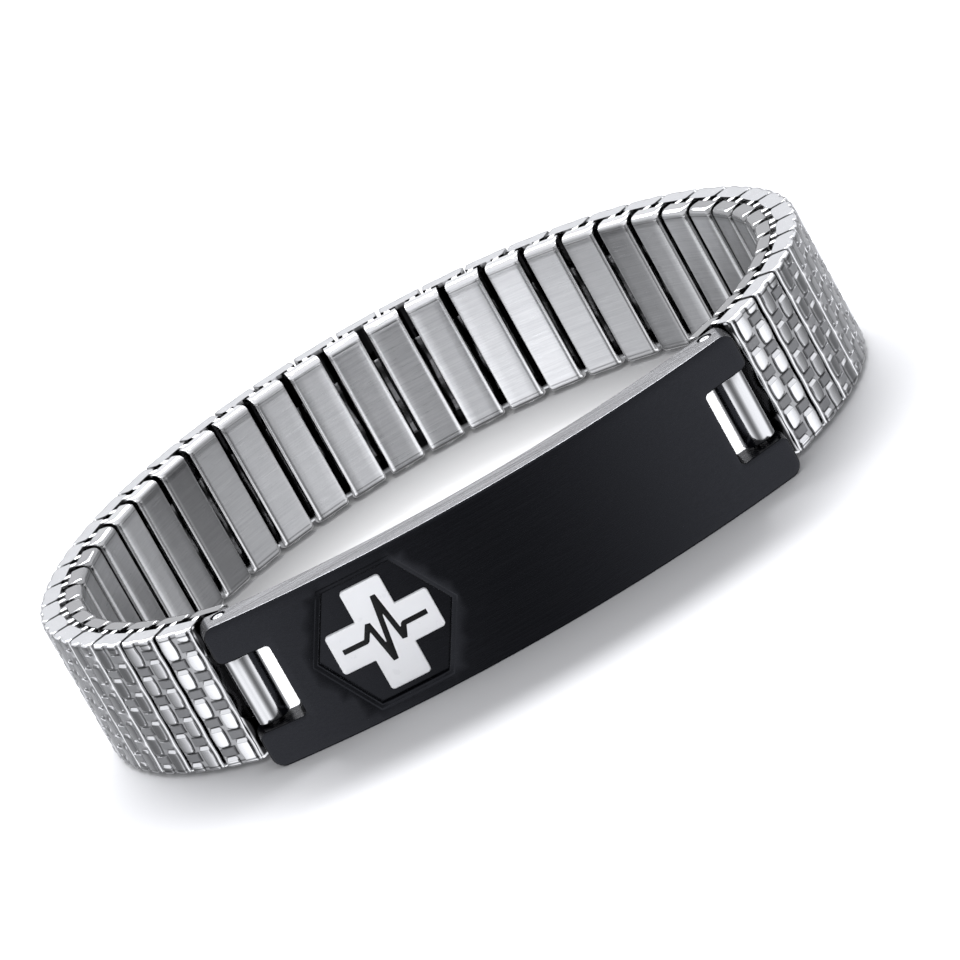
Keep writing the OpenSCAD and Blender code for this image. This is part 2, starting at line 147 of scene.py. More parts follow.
table_reach = 5
table_mesh = bpy.data.meshes.new("table")
table_mesh.from_pydata([
    (side*table_reach, front*table_reach, 0) for side, front in ((-1, -1), (1, -1), (1, 1), (-1, 1))
], [], [(0, 1, 2, 3)])
table = bpy.data.objects.new("table", table_mesh)
bpy.context.scene.collection.objects.link(table)
table.visible_glossy = False
table_paper = bpy.data.materials.new("table_paper")
table_paper.use_nodes = True
paper_shader = table_paper.node_tree.nodes["Principled BSDF"]
paper_shader.inputs["Base Color"].default_value = (0.53, 0.53, 0.53, 1)
paper_shader.inputs["Roughness"].default_value = 0.8
table_mesh.materials.append(table_paper)

lamp_height, lit_r = 400, 24
lamp_data = bpy.data.lights.new("inside_lamp", "SPOT")
lamp_data.energy = 7
lamp_data.spot_size = 2*math.atan2(lit_r, lamp_height)
lamp_data.spot_blend = 0.6
lamp_data.shadow_soft_size = 0.01
lamp = bpy.data.objects.new("inside_lamp", lamp_data)
lamp.location = (0, 3*mm, lamp_height*mm)
bpy.context.scene.collection.objects.link(lamp)

# Identity plate
# A bowed bar of steel with a satin black coating, finely brushed along its length, bare on its side edges.
# Notches leave two ears at each end, and a hexagonal recess with a sloped border is sunk in its face.
bow_r = 65
bow_centre_y = 34.399
plate_end = 23.2
plate_h = 12.6
plate_t = 3.15
plate_end_rounds = [(0.35, bow_r - 0.35), (1, bow_r - plate_t + 1)]
notch_l, notch_foot, notch_head = 4.09, 3.15, 9.45
plate_edge = 0.14
hexagon_at = (-11, plate_h/2)
pin_at = (21.36, -24.604)
pin_hole_r = 0.6
coat_end = 6.0
black_coat = (0.0012, 0.0013, 0.002, 1)


def rounded_outline(corners, radii, steps=8):
    """An outline whose corners are arcs: each arc touches both sides and turns by the corner's angle."""
    corners = np.array(corners, float)
    before = corners - np.roll(corners, 1, 0)
    after = np.roll(corners, -1, 0) - corners
    before /= np.linalg.norm(before, axis=1)[:, None]
    after /= np.linalg.norm(after, axis=1)[:, None]
    turn = np.arctan2(before[:, 0]*after[:, 1] - before[:, 1]*after[:, 0], (before*after).sum(1))
    radii = np.broadcast_to(np.array(radii, float), turn.shape)
    start = corners - before*(radii*np.tan(abs(turn)/2))[:, None]
    inward = np.column_stack([-before[:, 1], before[:, 0]])*np.sign(turn)[:, None]
    part = (turn[:, None]*np.linspace(0, 1, steps + 1))[..., None]
    spoke = -inward[:, None]*np.cos(part)
    spoke = spoke + np.stack([inward[:, None, 1], -inward[:, None, 0]], -1)*np.sin(part)
    return ((start + inward*radii[:, None])[:, None] + spoke*radii[:, None, None]).reshape(-1, 2)


def stepped(outline, step):
    """The same closed outline with more points on its long sides, none further apart than the step."""
    ahead_of = np.roll(outline, -1, 0)
    counts = np.maximum(np.ceil(np.linalg.norm(ahead_of - outline, axis=1)/step).astype(int), 1)
    index = np.repeat(np.arange(len(outline)), counts)
    share = (np.arange(counts.sum()) - np.repeat(np.cumsum(counts) - counts, counts))/counts[index]
    return outline[index] + (ahead_of - outline)[index]*share[:, None]


def outward(outline):
    """Unit normals of a closed outline that runs anticlockwise, from the chord through each point."""
    chord = np.roll(outline, -1, 0) - np.roll(outline, 1, 0)
    normal = np.column_stack([chord[:, 1], -chord[:, 0]])
    return normal/np.maximum(np.linalg.norm(normal, axis=1), 1e-9)[:, None]


def enclosed(points, loops):
    """True for points with an odd number of loop sides on the way to the right of them."""
    inside = np.zeros(len(points), bool)
    for loop in loops:
        a, b = loop, np.roll(loop, -1, 0)
        rise = np.where(b[:, 1] == a[:, 1], 1e-12, b[:, 1] - a[:, 1])
        crosses = (a[:, 1] > points[:, 1, None]) != (b[:, 1] > points[:, 1, None])
        at = a[:, 0] + (points[:, 1, None] - a[:, 1])*(b[:, 0] - a[:, 0])/rise
        inside ^= (crosses & (points[:, 0, None] < at)).sum(1) % 2 == 1
    return inside


def flat_fill(loops, step):
    """Delaunay triangles between closed loops, and a square lattice of points inside, so that it can bend.

    Slivers whose points lie on one line are dropped.
    """
    low, high = np.vstack(loops).min(0), np.vstack(loops).max(0)
    lattice = np.stack(np.meshgrid(*[
        np.arange(low[k] + step/2, high[k], step) for k in (0, 1)
    ]), -1).reshape(-1, 2)
    lattice = lattice[enclosed(lattice, loops)]
    rim = np.vstack(loops)
    if len(lattice):
        gap = np.linalg.norm(lattice[:, None] - rim[None], axis=2).min(1)
        lattice = lattice[gap > 0.35*step]
    starts = np.cumsum([0] + [len(loop) for loop in loops])
    edges = [
        (int(s + k), int(s + (k + 1) % len(loop)))
        for s, loop in zip(starts, loops) for k in range(len(loop))
    ]
    points = [Vector(p) for p in np.vstack([rim, lattice])]
    made = delaunay_2d_cdt(points, edges, [], 0, 1e-6)
    points = np.array([tuple(p) for p in made[0]])
    faces = np.array([tuple(f) for f in made[2] if len(f) == 3])
    side_a, side_b = points[faces[:, 1]] - points[faces[:, 0]], points[faces[:, 2]] - points[faces[:, 0]]
    area = abs(side_a[:, 0]*side_b[:, 1] - side_a[:, 1]*side_b[:, 0])
    faces = faces[area > 1e-5*((side_a**2).sum(1) + (side_b**2).sum(1))]
    return points, faces[enclosed(points[faces].mean(1), loops)]


def rows_of_quads(rows, columns, closed=False):
    """Four-sided faces of a grid whose points are numbered row by row; a closed grid joins its sides."""
    step = columns if closed else columns - 1
    row, column = np.meshgrid(np.arange(rows - 1), np.arange(step), indexing="ij")
    nearby = (column + 1) % columns
    return np.stack([
        row*columns + column, (row + 1)*columns + column, (row + 1)*columns + nearby, row*columns + nearby
    ], -1).reshape(-1, 4)


def joined(parts):
    """One list of points and one of faces from several parts."""
    points, faces, start = [], [], 0
    for part_points, part_faces in parts:
        points.append(part_points)
        faces += (np.asarray(part_faces) + start).tolist()
        start += len(part_points)
    return np.vstack(points), faces


def sealed(mesh):
    """Merges doubled points, drops faces with no area and turns all faces outwards."""
    shell = bmesh.new()
    shell.from_mesh(mesh)
    bmesh.ops.remove_doubles(shell, verts=shell.verts, dist=2e-6)
    bmesh.ops.dissolve_degenerate(shell, edges=shell.edges, dist=1e-7)
    bmesh.ops.recalc_face_normals(shell, faces=shell.faces)
    shell.to_mesh(mesh)
    shell.free()


def make_piece(name, points, faces, finish, slot, nodes, sharp=35, seal=True):
    """A named piece at the origin from points in millimetres, riding on the bracelet."""
    mesh = bpy.data.meshes.new(name)
    mesh.from_pydata((np.asarray(points)*mm).tolist(), [], [list(face) for face in faces])
    if seal:
        sealed(mesh)
    mesh.shade_smooth()
    mesh.set_sharp_from_angle(angle=math.radians(sharp))
    mesh.materials.append(finish)
    made = bpy.data.objects.new(name, mesh)
    bpy.context.scene.collection.objects.link(made)
    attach(made, "root")
    if nodes:
        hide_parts(*nodes)
    return made


def on_bow(flat, depth):
    """Puts a front view of the plate on its bowed face, or at a depth: points go straight back."""
    r = bow_r - np.broadcast_to(depth, flat[:, 0].shape)
    return np.column_stack([flat[:, 0], bow_centre_y - np.sqrt(r**2 - flat[:, 0]**2), flat[:, 1]])


def on_face(flat, depth):
    """Bends a flat drawing round the plate's large bow, at a depth below the face."""
    angle = flat[:, 0]/bow_r
    r = bow_r - np.broadcast_to(depth, angle.shape)
    return np.column_stack([r*np.sin(angle), bow_centre_y - r*np.cos(angle), flat[:, 1]])


def end_reach(depth):
    """How far the plate goes along X at a depth: to its square end, less the two roundings there.

    Each rounding is a circle that touches the end and a bowed face. The reach is where the bow of this
    depth crosses it.
    """
    r = bow_r - depth
    reach = plate_end
    for k, (edge_r, middle_r) in enumerate(plate_end_rounds):
        middle_x = plate_end - edge_r
        middle_y = math.sqrt(middle_r**2 - middle_x**2)
        touch_r = math.hypot(plate_end, middle_y)
        if (r > touch_r) if k == 0 else (r < touch_r):
            nearest = (r**2 - edge_r**2 + middle_r**2)/(2*middle_r)
            aside = math.sqrt(max(r**2 - nearest**2, 0))
            reach = min(reach, (nearest*middle_x + aside*middle_y)/middle_r)
    return reach


u0, u1 = plate_end, plate_end - notch_l
plate_outline = stepped(rounded_outline(
    [
        (u0, 0), (u0, notch_foot), (u1, notch_foot), (u1, notch_head), (u0, notch_head), (u0, plate_h),
        (-u0, plate_h), (-u0, notch_head), (-u1, notch_head), (-u1, notch_foot), (-u0, notch_foot), (-u0, 0)
    ],
    [1, 0.65, 0.35, 0.35, 0.65, 1, 1, 0.65, 0.35, 0.35, 0.65, 1]
), 0.8)
plate_normals = outward(plate_outline)
plate_depths = [
    0, 0.02, 0.06, 0.14, 0.22, 0.35, 1.0, 1.6, 1.9, 2.2, 2.5, 2.75, 2.92, 3.01, 3.09, 3.13, plate_t
]
plate_insets = [
    plate_edge - math.sqrt(max(plate_edge**2 - max(plate_edge - min(d, plate_t - d), 0)**2, 0))
    for d in plate_depths
]
plate_rims = []
for d, inset in zip(plate_depths, plate_insets):
    rim = plate_outline - plate_normals*inset
    rim[:, 0] = np.clip(rim[:, 0], -end_reach(d), end_reach(d))
    plate_rims.append(rim)
hexagon_corners = np.column_stack([np.cos(np.arange(6)*math.pi/3), np.sin(np.arange(6)*math.pi/3)])
hexagon_steps = [
    (6.27, 0), (6.24, 0.012), (6.16, 0.075), (6.12, 0.085), (5.88, 0.1), (5.84, 0.115), (5.75, 0.24),
    (5.72, 0.46), (5.68, 0.5)
]
hexagon_rims = [stepped(hexagon_corners*across + hexagon_at, across/7.5) for across, d in hexagon_steps]
hexagon_in_front = np.column_stack([bow_r*np.sin(hexagon_rims[0][:, 0]/bow_r), hexagon_rims[0][:, 1]])
front_points, front_faces = flat_fill([plate_rims[0], hexagon_in_front], 1.0)
back_points, back_faces = flat_fill([plate_rims[-1]], 1.2)
floor_points, floor_faces = flat_fill([hexagon_rims[-1]], 1.0)
plate_parts = [
    (on_bow(front_points, 0), front_faces), (on_bow(back_points, plate_t), back_faces),
    (on_face(floor_points, hexagon_steps[-1][1]), floor_faces),
    (
        np.vstack([on_bow(rim, d) for rim, d in zip(plate_rims, plate_depths)]),
        rows_of_quads(len(plate_rims), len(plate_outline), True)
    ),
    (
        np.vstack([on_face(rim, d) for rim, (a, d) in zip(hexagon_rims, hexagon_steps)]),
        rows_of_quads(len(hexagon_rims), len(hexagon_rims[0]), True)
    )
]

# The fine lines that brushing leaves: noise drawn out along one direction, as a value from 0 to 1.
brushing = bpy.data.node_groups.new("brushing", "ShaderNodeTree")
brushing.interface.new_socket("Place", in_out="INPUT", socket_type="NodeSocketVector")
brushing.interface.new_socket("Stretch", in_out="INPUT", socket_type="NodeSocketVector")
brushing.interface.new_socket("Lines", in_out="OUTPUT", socket_type="NodeSocketFloat")
group_in = brushing.nodes.new("NodeGroupInput")
drawn_out = add_node(
    brushing, "VectorMath", {"operation": "MULTIPLY"}, i0=group_in.outputs[0], i1=group_in.outputs[1]
)
coarse = add_node(brushing, "TexNoise", Vector=drawn_out.outputs[0], Scale=1.0, Detail=3.0, Roughness=0.65)
group_out = brushing.nodes.new("NodeGroupOutput")
brushing.links.new(coarse.outputs[0], group_out.inputs[0])


def new_finish(name):
    """An empty material with its Principled shader, and its node tree."""
    made = bpy.data.materials.new(name)
    made.use_nodes = True
    return made, made.node_tree, made.node_tree.nodes["Principled BSDF"]


def brushed_lines(tree, stretch):
    """Brushing on the piece's own coordinates, drawn out as the stretch says."""
    place = add_node(tree, "TexCoord").outputs["Object"]
    lines = add_node(tree, "Group", {"node_tree": brushing}, i0=place)
    lines.inputs[1].default_value = stretch
    return lines.outputs[0]


def spread(tree, value, low, high):
    """Maps a value from 0.3 to 0.7, where noise mostly lies, to a range."""
    return add_node(tree, "MapRange", i0=value, i1=0.3, i2=0.7, i3=low, i4=high).outputs[0]


satin_black, tree, shader = new_finish("satin_black")
lines = brushed_lines(tree, (90, 9000, 9000))
facing = add_node(tree, "SeparateXYZ", i0=add_node(tree, "TexCoord").outputs["Normal"])
facing = add_node(tree, "Math", {"operation": "ABSOLUTE"}, i0=facing.outputs[2])
# Painted shade: the coat reflects less on faces that point up or down, such as the notch floors.
painted_ledge_shade = add_node(tree, "MapRange", i0=facing.outputs[0], i1=0.4, i2=0.8, i3=0.38, i4=0.065)
tree.links.new(painted_ledge_shade.outputs[0], shader.inputs["Specular IOR Level"])
facing = add_node(tree, "MapRange", i0=facing.outputs[0], i1=0.95, i2=0.985, i3=0.0, i4=1.0)
level_place = add_node(tree, "SeparateXYZ", i0=add_node(tree, "TexCoord").outputs["Object"]).outputs[2]
from_middle = add_node(tree, "Math", {"operation": "SUBTRACT"}, i0=level_place, i1=plate_h/2*mm)
from_middle = add_node(tree, "Math", {"operation": "ABSOLUTE"}, i0=from_middle.outputs[0])
outermost = add_node(
    tree, "MapRange", i0=from_middle.outputs[0], i1=coat_end*mm, i2=(coat_end + 0.1)*mm, i3=0.0, i4=1.0
)
side_edge = add_node(
    tree, "Math", {"operation": "MULTIPLY"}, i0=facing.outputs[0], i1=outermost.outputs[0]
).outputs[0]
bare = add_node(
    tree, "Mix", {"data_type": "RGBA"}, i0=spread(tree, lines, 0.0, 1.0), i6=(0.062, 0.062, 0.064, 1),
    i7=(0.104, 0.104, 0.107, 1)
)
coat = add_node(tree, "Mix", {"data_type": "RGBA"}, i0=side_edge, i6=black_coat, i7=bare.outputs[2])
tree.links.new(coat.outputs[2], shader.inputs["Base Color"])
tree.links.new(side_edge, shader.inputs["Metallic"])
glint = add_node(tree, "Mix", {"data_type": "RGBA"}, i0=side_edge, i6=(0.85, 0.88, 1, 1), i7=(1, 1, 1, 1))
tree.links.new(glint.outputs[2], shader.inputs["Specular Tint"])
tree.links.new(spread(tree, lines, 0.2, 0.34), shader.inputs["Roughness"])
bump = add_node(tree, "Bump", Strength=0.3, Distance=0.00002, Height=lines)
tree.links.new(bump.outputs[0], shader.inputs["Normal"])

plate = make_piece("plate", *joined(plate_parts), satin_black, "black_plate", ["id_plate"])
round_points = 32
drill_angle = np.arange(round_points)*2*math.pi/round_points
drill_flare = pin_hole_r + 1.05
drill_profile = [(-1, drill_flare)] + [(z, pin_hole_r) for z in (0.05, 2.9, 4, 8, 12.55)]
drill_profile += [(13.6, drill_flare)]
drill_parts = []
for x in (-pin_at[0], pin_at[0]):
    rings = [
        np.column_stack([
            x + r*np.cos(drill_angle), pin_at[1] + r*np.sin(drill_angle), np.full(round_points, z)
        ])
        for z, r in drill_profile
    ]
    drill_parts.append((np.vstack(rings), rows_of_quads(len(rings), round_points, True)))
    drill_parts += [(ring, [list(range(round_points))]) for ring in (rings[0], rings[-1])]
drill_points, drill_faces = joined(drill_parts)
drill_mesh = bpy.data.meshes.new("drill")
drill_mesh.from_pydata((drill_points*mm).tolist(), [], drill_faces)
sealed(drill_mesh)
drill = bpy.data.objects.new("drill", drill_mesh)
bpy.context.scene.collection.objects.link(drill)
cut = plate.modifiers.new("pin_holes", "BOOLEAN")
cut.object = drill
cut.solver = "EXACT"
drilled = bpy.data.meshes.new_from_object(plate.evaluated_get(bpy.context.evaluated_depsgraph_get()))
plate.modifiers.remove(cut)
plate.data = drilled
drilled.name = "plate"
drilled.shade_smooth()
drilled.set_sharp_from_angle(angle=math.radians(35))
bpy.data.objects.remove(drill)

# Emblem
# A cross of hard white enamel stands on the floor of the hexagonal recess, with a thin black line of
# enamel let into a groove across it. Both are moulded flat, bent with the plate and bonded down.
cross_reach, cross_half = 4.4, 1.7
cross_foot, cross_top = 0.5, 0.15
pulse_half, pulse_deep = 0.21, 0.2
pulse_shares = [
    (-0.82, 0), (-0.36, 0), (-0.2, 0.27), (-0.06, -0.52), (0.12, 0.7), (0.26, -0.24), (0.36, 0), (0.82, 0)
]
a, b = cross_reach, cross_half
cross_outline = stepped(rounded_outline(
    [
        (a, -b), (a, b), (b, b), (b, a), (-b, a), (-b, b), (-a, b), (-a, -b), (-b, -b), (-b, -a), (b, -a),
        (b, -b)
    ],
    [0.3, 0.3, 0.1]*4
) + hexagon_at, 0.5)


def stroke(line, half):
    """Outline of a stroke: inside each turn its edges meet in one point, and outside it is cut across."""
    line = np.array(line, float)
    way_on = np.diff(line, axis=0)
    way_on /= np.linalg.norm(way_on, axis=1)[:, None]
    left = np.column_stack([-way_on[:, 1], way_on[:, 0]])
    edges = {side: [line[0] + side*left[0]*half] for side in (1, -1)}
    for k, at in enumerate(line[1:-1]):
        inner = 1 if left[k]@way_on[k + 1] > 0 else -1
        meeting = (left[k] + left[k + 1])/(1 + left[k]@left[k + 1])
        edges[inner].append(at + inner*meeting*half)
        edges[-inner] += [at - inner*left[k]*half, at - inner*left[k + 1]*half]
    for side in (1, -1):
        edges[side].append(line[-1] + side*left[-1]*half)
    return np.array(edges[-1] + edges[1][::-1])


pulse_line = np.array(pulse_shares)*cross_reach
pulse_groove, pulse_outline = (
    stepped(rounded_outline(stroke(pulse_line, half), 0.04, 3) + hexagon_at, 0.4)
    for half in (pulse_half + 0.012, pulse_half)
)


def inlay(outline, foot, top, edge, hole=None, hole_foot=0):
    """A bent slab with rounded upper edges; a hole gets walls and a floor of its own."""
    normals = outward(outline)
    turns = np.linspace(0, math.pi/2, 5)
    steps = [(0, foot)] + [(edge*(1 - math.cos(t)), top + edge*(1 - math.sin(t))) for t in turns]
    rims = [outline - normals*inset for inset, d in steps]
    loops = [rims[-1]] + ([hole] if hole is not None else [])
    top_points, top_faces = flat_fill(loops, 0.5)
    foot_points, foot_faces = flat_fill([outline], 0.8)
    parts = [
        (on_face(top_points, top), top_faces), (on_face(foot_points, foot), foot_faces),
        (
            np.vstack([on_face(rim, d) for rim, (inset, d) in zip(rims, steps)]),
            rows_of_quads(len(rims), len(outline), True)
        )
    ]
    if hole is not None:
        hole_points, hole_faces = flat_fill([hole], 0.6)
        parts.append((on_face(hole_points, hole_foot), hole_faces))
        parts.append((
            np.vstack([on_face(hole, top), on_face(hole, hole_foot)]), rows_of_quads(2, len(hole), True)
        ))
    return joined(parts)


white_enamel, tree, shader = new_finish("white_enamel")
place = add_node(tree, "TexCoord").outputs["Object"]
cloud = add_node(tree, "TexNoise", Vector=place, Scale=900.0, Detail=3.0, Roughness=0.6).outputs[0]
tint = add_node(
    tree, "Mix", {"data_type": "RGBA"}, i0=spread(tree, cloud, 0.0, 1.0), i6=(0.915, 0.92, 0.93, 1),
    i7=(0.925, 0.93, 0.94, 1)
)
tree.links.new(tint.outputs[2], shader.inputs["Base Color"])
tree.links.new(spread(tree, cloud, 0.27, 0.3), shader.inputs["Roughness"])
make_piece(
    "cross", *inlay(cross_outline, cross_foot, cross_top, 0.12, pulse_groove, cross_top + pulse_deep),
    white_enamel, "white_enamel", ["emblem_cross"]
)

black_enamel, tree, shader = new_finish("black_enamel")
place = add_node(tree, "TexCoord").outputs["Object"]
cloud = add_node(tree, "TexNoise", Vector=place, Scale=1400.0, Detail=2.0).outputs[0]
shader.inputs["Base Color"].default_value = (0.004, 0.004, 0.0045, 1)
shader.inputs["Specular IOR Level"].default_value = 0.3
tree.links.new(spread(tree, cloud, 0.25, 0.4), shader.inputs["Roughness"])
make_piece(
    "pulse", *inlay(pulse_outline, cross_top + pulse_deep, cross_top + 0.005, 0.03),
    black_enamel, "black_enamel", ["pulse_line"]
)

# End connectors and pins
# Each connector is one strip of polished steel rolled round its pin, and its flat tongue goes in between
# the two rows of links. The pin is a steel rod with dimpled ends, pressed through the plate's ears; its top
# end is rougher, and painted darker as shade.
pitch, link_count = 4.13, 37
far_bend, end_turn, side_share = math.radians(75), math.radians(140.35), 0.82
far_y, band_foot = 30.601, 0.3
far_r = pitch*link_count/2/(far_bend + side_share*(end_turn - far_bend))
side_r = far_r*side_share


def band_places(lengths):
    """Places on the band at lengths from its far middle: a far arc, then tighter arcs at both sides.

    Gives the points at the pattern's top, the way along the band and the way outwards.
    """
    s = np.asarray(lengths, float)
    past = np.maximum(abs(s) - far_r*far_bend, 0)
    turn = np.sign(s)*(np.minimum(abs(s), far_r*far_bend)/far_r + past/side_r)
    r = np.where(past > 0, side_r, far_r)
    x = np.sign(s)*(far_r - r)*math.sin(far_bend) + r*np.sin(turn)
    y = far_y - far_r + (far_r - r)*math.cos(far_bend) + r*np.cos(turn)
    nothing = np.zeros_like(s)
    at = np.stack([x, y, nothing + band_foot], -1)
    along = np.stack([np.cos(turn), -np.sin(turn), nothing], -1)
    out = np.stack([np.sin(turn), np.cos(turn), nothing], -1)
    return at, along, out


def on_band(points, place):
    """Puts points drawn along the band, outwards and up at one place on the band."""
    at, along, out = place
    return at + points[:, :1]*along + points[:, 1:2]*out + points[:, 2:]*np.array([0, 0, 1.0])


tube_r, bore_r = 1.35, 0.6
tube_mid, tube_depth = 2.63, 0.55
tube_foot, tube_head = 3.05, 8.95
tongue_in, tongue_t = 2.2, 0.38
pin_end_z = 11.5
meets = math.pi + math.asin((tube_r - tongue_t)/tube_r)
wrap = np.linspace(-math.pi/2, meets, 56)
seam_r = tube_r - 0.08
seam_side = [(math.cos(meets)*seam_r, math.sin(meets)*seam_r), (-1.16, -tube_r + tongue_t)]
tongue = [(-tube_mid - tongue_in, -tube_r + tongue_t), (-tube_mid - tongue_in, -tube_r)]
connector_outline = np.vstack([
    tube_r*np.column_stack([np.cos(wrap), np.sin(wrap)]), seam_side, tongue
]) + (tube_mid, -tube_depth)
bore = bore_r*np.column_stack([np.cos(drill_angle), np.sin(drill_angle)]) + (tube_mid, -tube_depth)
connector_normals, bore_normals = outward(connector_outline), outward(bore)
rim_turn = np.linspace(0, math.pi/2, 4)
edge = 0.12
lower = [(edge*(1 - math.sin(t)), tube_foot + edge*(1 - math.cos(t))) for t in rim_turn]
upper = [(inset, tube_foot + tube_head - z) for inset, z in lower[::-1]]
connector_steps = lower + upper
cap_points, cap_faces = flat_fill([
    connector_outline - connector_normals*connector_steps[0][0], bore + bore_normals*connector_steps[0][0]
], 1.5)
connector_parts = [
    (np.column_stack([cap_points, np.full(len(cap_points), z)]), cap_faces)
    for z in (tube_foot, tube_head)
]
for outline, normals in ((connector_outline, -connector_normals), (bore, bore_normals)):
    rims = [
        np.column_stack([outline + normals*inset, np.full(len(outline), z)]) for inset, z in connector_steps
    ]
    connector_parts.append((np.vstack(rims), rows_of_quads(len(rims), len(outline), True)))
connector_points, connector_faces = joined(connector_parts)

rolled_steel, tree, shader = new_finish("rolled_steel")
lines = brushed_lines(tree, (4000, 4000, 250))
pin_top_dull_and_shade = add_node(tree, "SeparateXYZ", i0=add_node(tree, "TexCoord").outputs["Object"]).outputs[2]
pin_top_dull_and_shade = add_node(
    tree, "MapRange", i0=pin_top_dull_and_shade, i1=pin_end_z*mm, i2=(pin_end_z + 0.1)*mm, i3=0.0, i4=1.0
).outputs[0]
# The top end of each pin is rougher, and its colour there is painted darker as shade.
rolled_tone = add_node(
    tree, "Mix", {"data_type": "RGBA"}, i0=pin_top_dull_and_shade, i6=(0.72, 0.725, 0.735, 1), i7=(0.2, 0.202, 0.206, 1)
)
tree.links.new(rolled_tone.outputs[2], shader.inputs["Base Color"])
shader.inputs["Metallic"].default_value = 1.0
rolled_rough = add_node(
    tree, "Mix", {"data_type": "FLOAT"}, i0=pin_top_dull_and_shade, i2=spread(tree, lines, 0.09, 0.18), i3=0.42
)
tree.links.new(rolled_rough.outputs[0], shader.inputs["Roughness"])
bump = add_node(tree, "Bump", Strength=0.2, Distance=0.00002, Height=lines)
tree.links.new(bump.outputs[0], shader.inputs["Normal"])
band_end = band_places(pitch*link_count/2)
connector_right = on_band(connector_points, band_end)
for side, name in ((1, "connector_right"), (-1, "connector_left")):
    make_piece(
        name, connector_right*(side, 1, 1), connector_faces, rolled_steel, "polished_steel", ["end_" + name]
    )
pin_profile = [
    (0, 0.19), (0.1, 0.18), (0.2, 0.13), (0.29, 0.06), (0.38, 0.05), (0.45, 0.09), (0.5, 0.2), (0.5, 0.5)
]
pin_profile += [(r, plate_h - z) for r, z in pin_profile[::-1]]
pin_points = np.vstack([
    np.column_stack([r*np.cos(drill_angle), r*np.sin(drill_angle) + pin_at[1], np.full(round_points, z)])
    for r, z in pin_profile
])
for side, name in ((-1, "pin_left"), (1, "pin_right")):
    make_piece(
        name + "_rod", pin_points + (side*pin_at[0], 0, 0),
        rows_of_quads(len(pin_profile), round_points, True), rolled_steel, "polished_steel", [name], 50
    )

# Outer links
# Each link is pressed from thin steel sheet: the basket weave is embossed on its face, the long sides are
# folded down as walls and both ends as flaps. The raised pads are polished and the cross bars satin. The
# bars' dark tone, the creases at the foot of pads and bars and the lines below the end folds are painted
# shade that fades away from the plate; the inside and the deep side walls are painted near black as shade.
outer_half, outer_draft = 1.915, 0.13
outer_wall, outer_flap = 1.45, 1.7
sheet, end_sheet = 0.3, 0.35
band_h = 12
row_pitch = band_h/9
relief = 0.2
column_x, pad_half, pad_corner = 0.95, 0.61, 0.2
pad_dome, pad_head_long, pad_head_fall, pad_foot_long, pad_foot_fall = 0.03, 0.34, 0.17, 0.15, 0.05
bar_half, bar_sunk, pad_gap, crease_w = 0.38, 0.04, 0.07, 0.08
side_fold, end_fold, fold_steps = 0.22, 0.25, 4
flap_corner_r = 0.4


def clipped(value, low, high):
    """How far a value is on its way from low to high, from 0 to 1."""
    return np.clip((value - low)/(high - low), 0, 1)


def weave(x, z):
    """Height below the pattern's top, and the shares of pad, bar and crease, of the basket weave.

    Two columns of pads stand half a repeat apart. A pad is a slightly domed rectangle with round corners
    and sloping ends. A bar is a strip from the link's middle over its edge. The sheet between them lies
    lower, and the crease share marks a thin line of painted shade along the foot of each.
    """
    rise, pads, bars, creases = (np.zeros_like(x) for k in range(4))
    down = band_h - z
    for side in (-1, 1):
        first = 2 if side > 0 else 1
        across = side*x
        row = np.clip(2*np.round((down/row_pitch - first)/2) + first, first, first + 6)
        past_end = np.maximum(across - outer_half + side_fold + bar_half - 0.03, 0)
        from_bar = np.maximum(np.hypot(past_end, down - row*row_pitch) - bar_half, 0.02 - across)
        bar = 1 - clipped(from_bar, -0.07, 0)
        middle = 2*np.round((down/row_pitch - first - 1)/2) + first + 1
        top = (middle - 1)*row_pitch + bar_half + pad_gap
        foot = (middle + 1)*row_pitch - bar_half - pad_gap
        top = np.where(middle < first, -1, top)
        foot = np.where(middle > first + 6, band_h + 1, foot)
        half_long = (foot - top)/2
        from_middle = abs(down - (foot + top)/2)
        above = (foot + top)/2 - down
        from_side = abs(across - column_x)
        beyond = np.stack([from_side - pad_half + pad_corner, from_middle - half_long + pad_corner])
        from_pad = np.hypot(*np.maximum(beyond, 0)) + np.minimum(beyond.max(0), 0) - pad_corner
        pad = 1 - clipped(from_pad, -0.06, 0)
        slope = pad_dome*(from_side/pad_half)**2
        slope += pad_foot_fall*clipped(-above, half_long - pad_foot_long, half_long)
        slope += pad_head_fall*clipped(above, half_long - pad_head_long, half_long)
        high = np.maximum(pad*(relief - slope), bar*(relief - bar_sunk))
        near = 1 - clipped(np.minimum(from_pad, np.where(from_bar < 0.2, from_bar, 1)), 0, crease_w)
        rise = np.maximum(rise, high)
        pads = np.maximum(pads, pad)
        bars = np.maximum(bars, bar)
        creases = np.maximum(creases, near*(across > -0.02))
    creases = creases*(1 - np.maximum(pads, bars))
    return rise - relief, pads, bars, creases


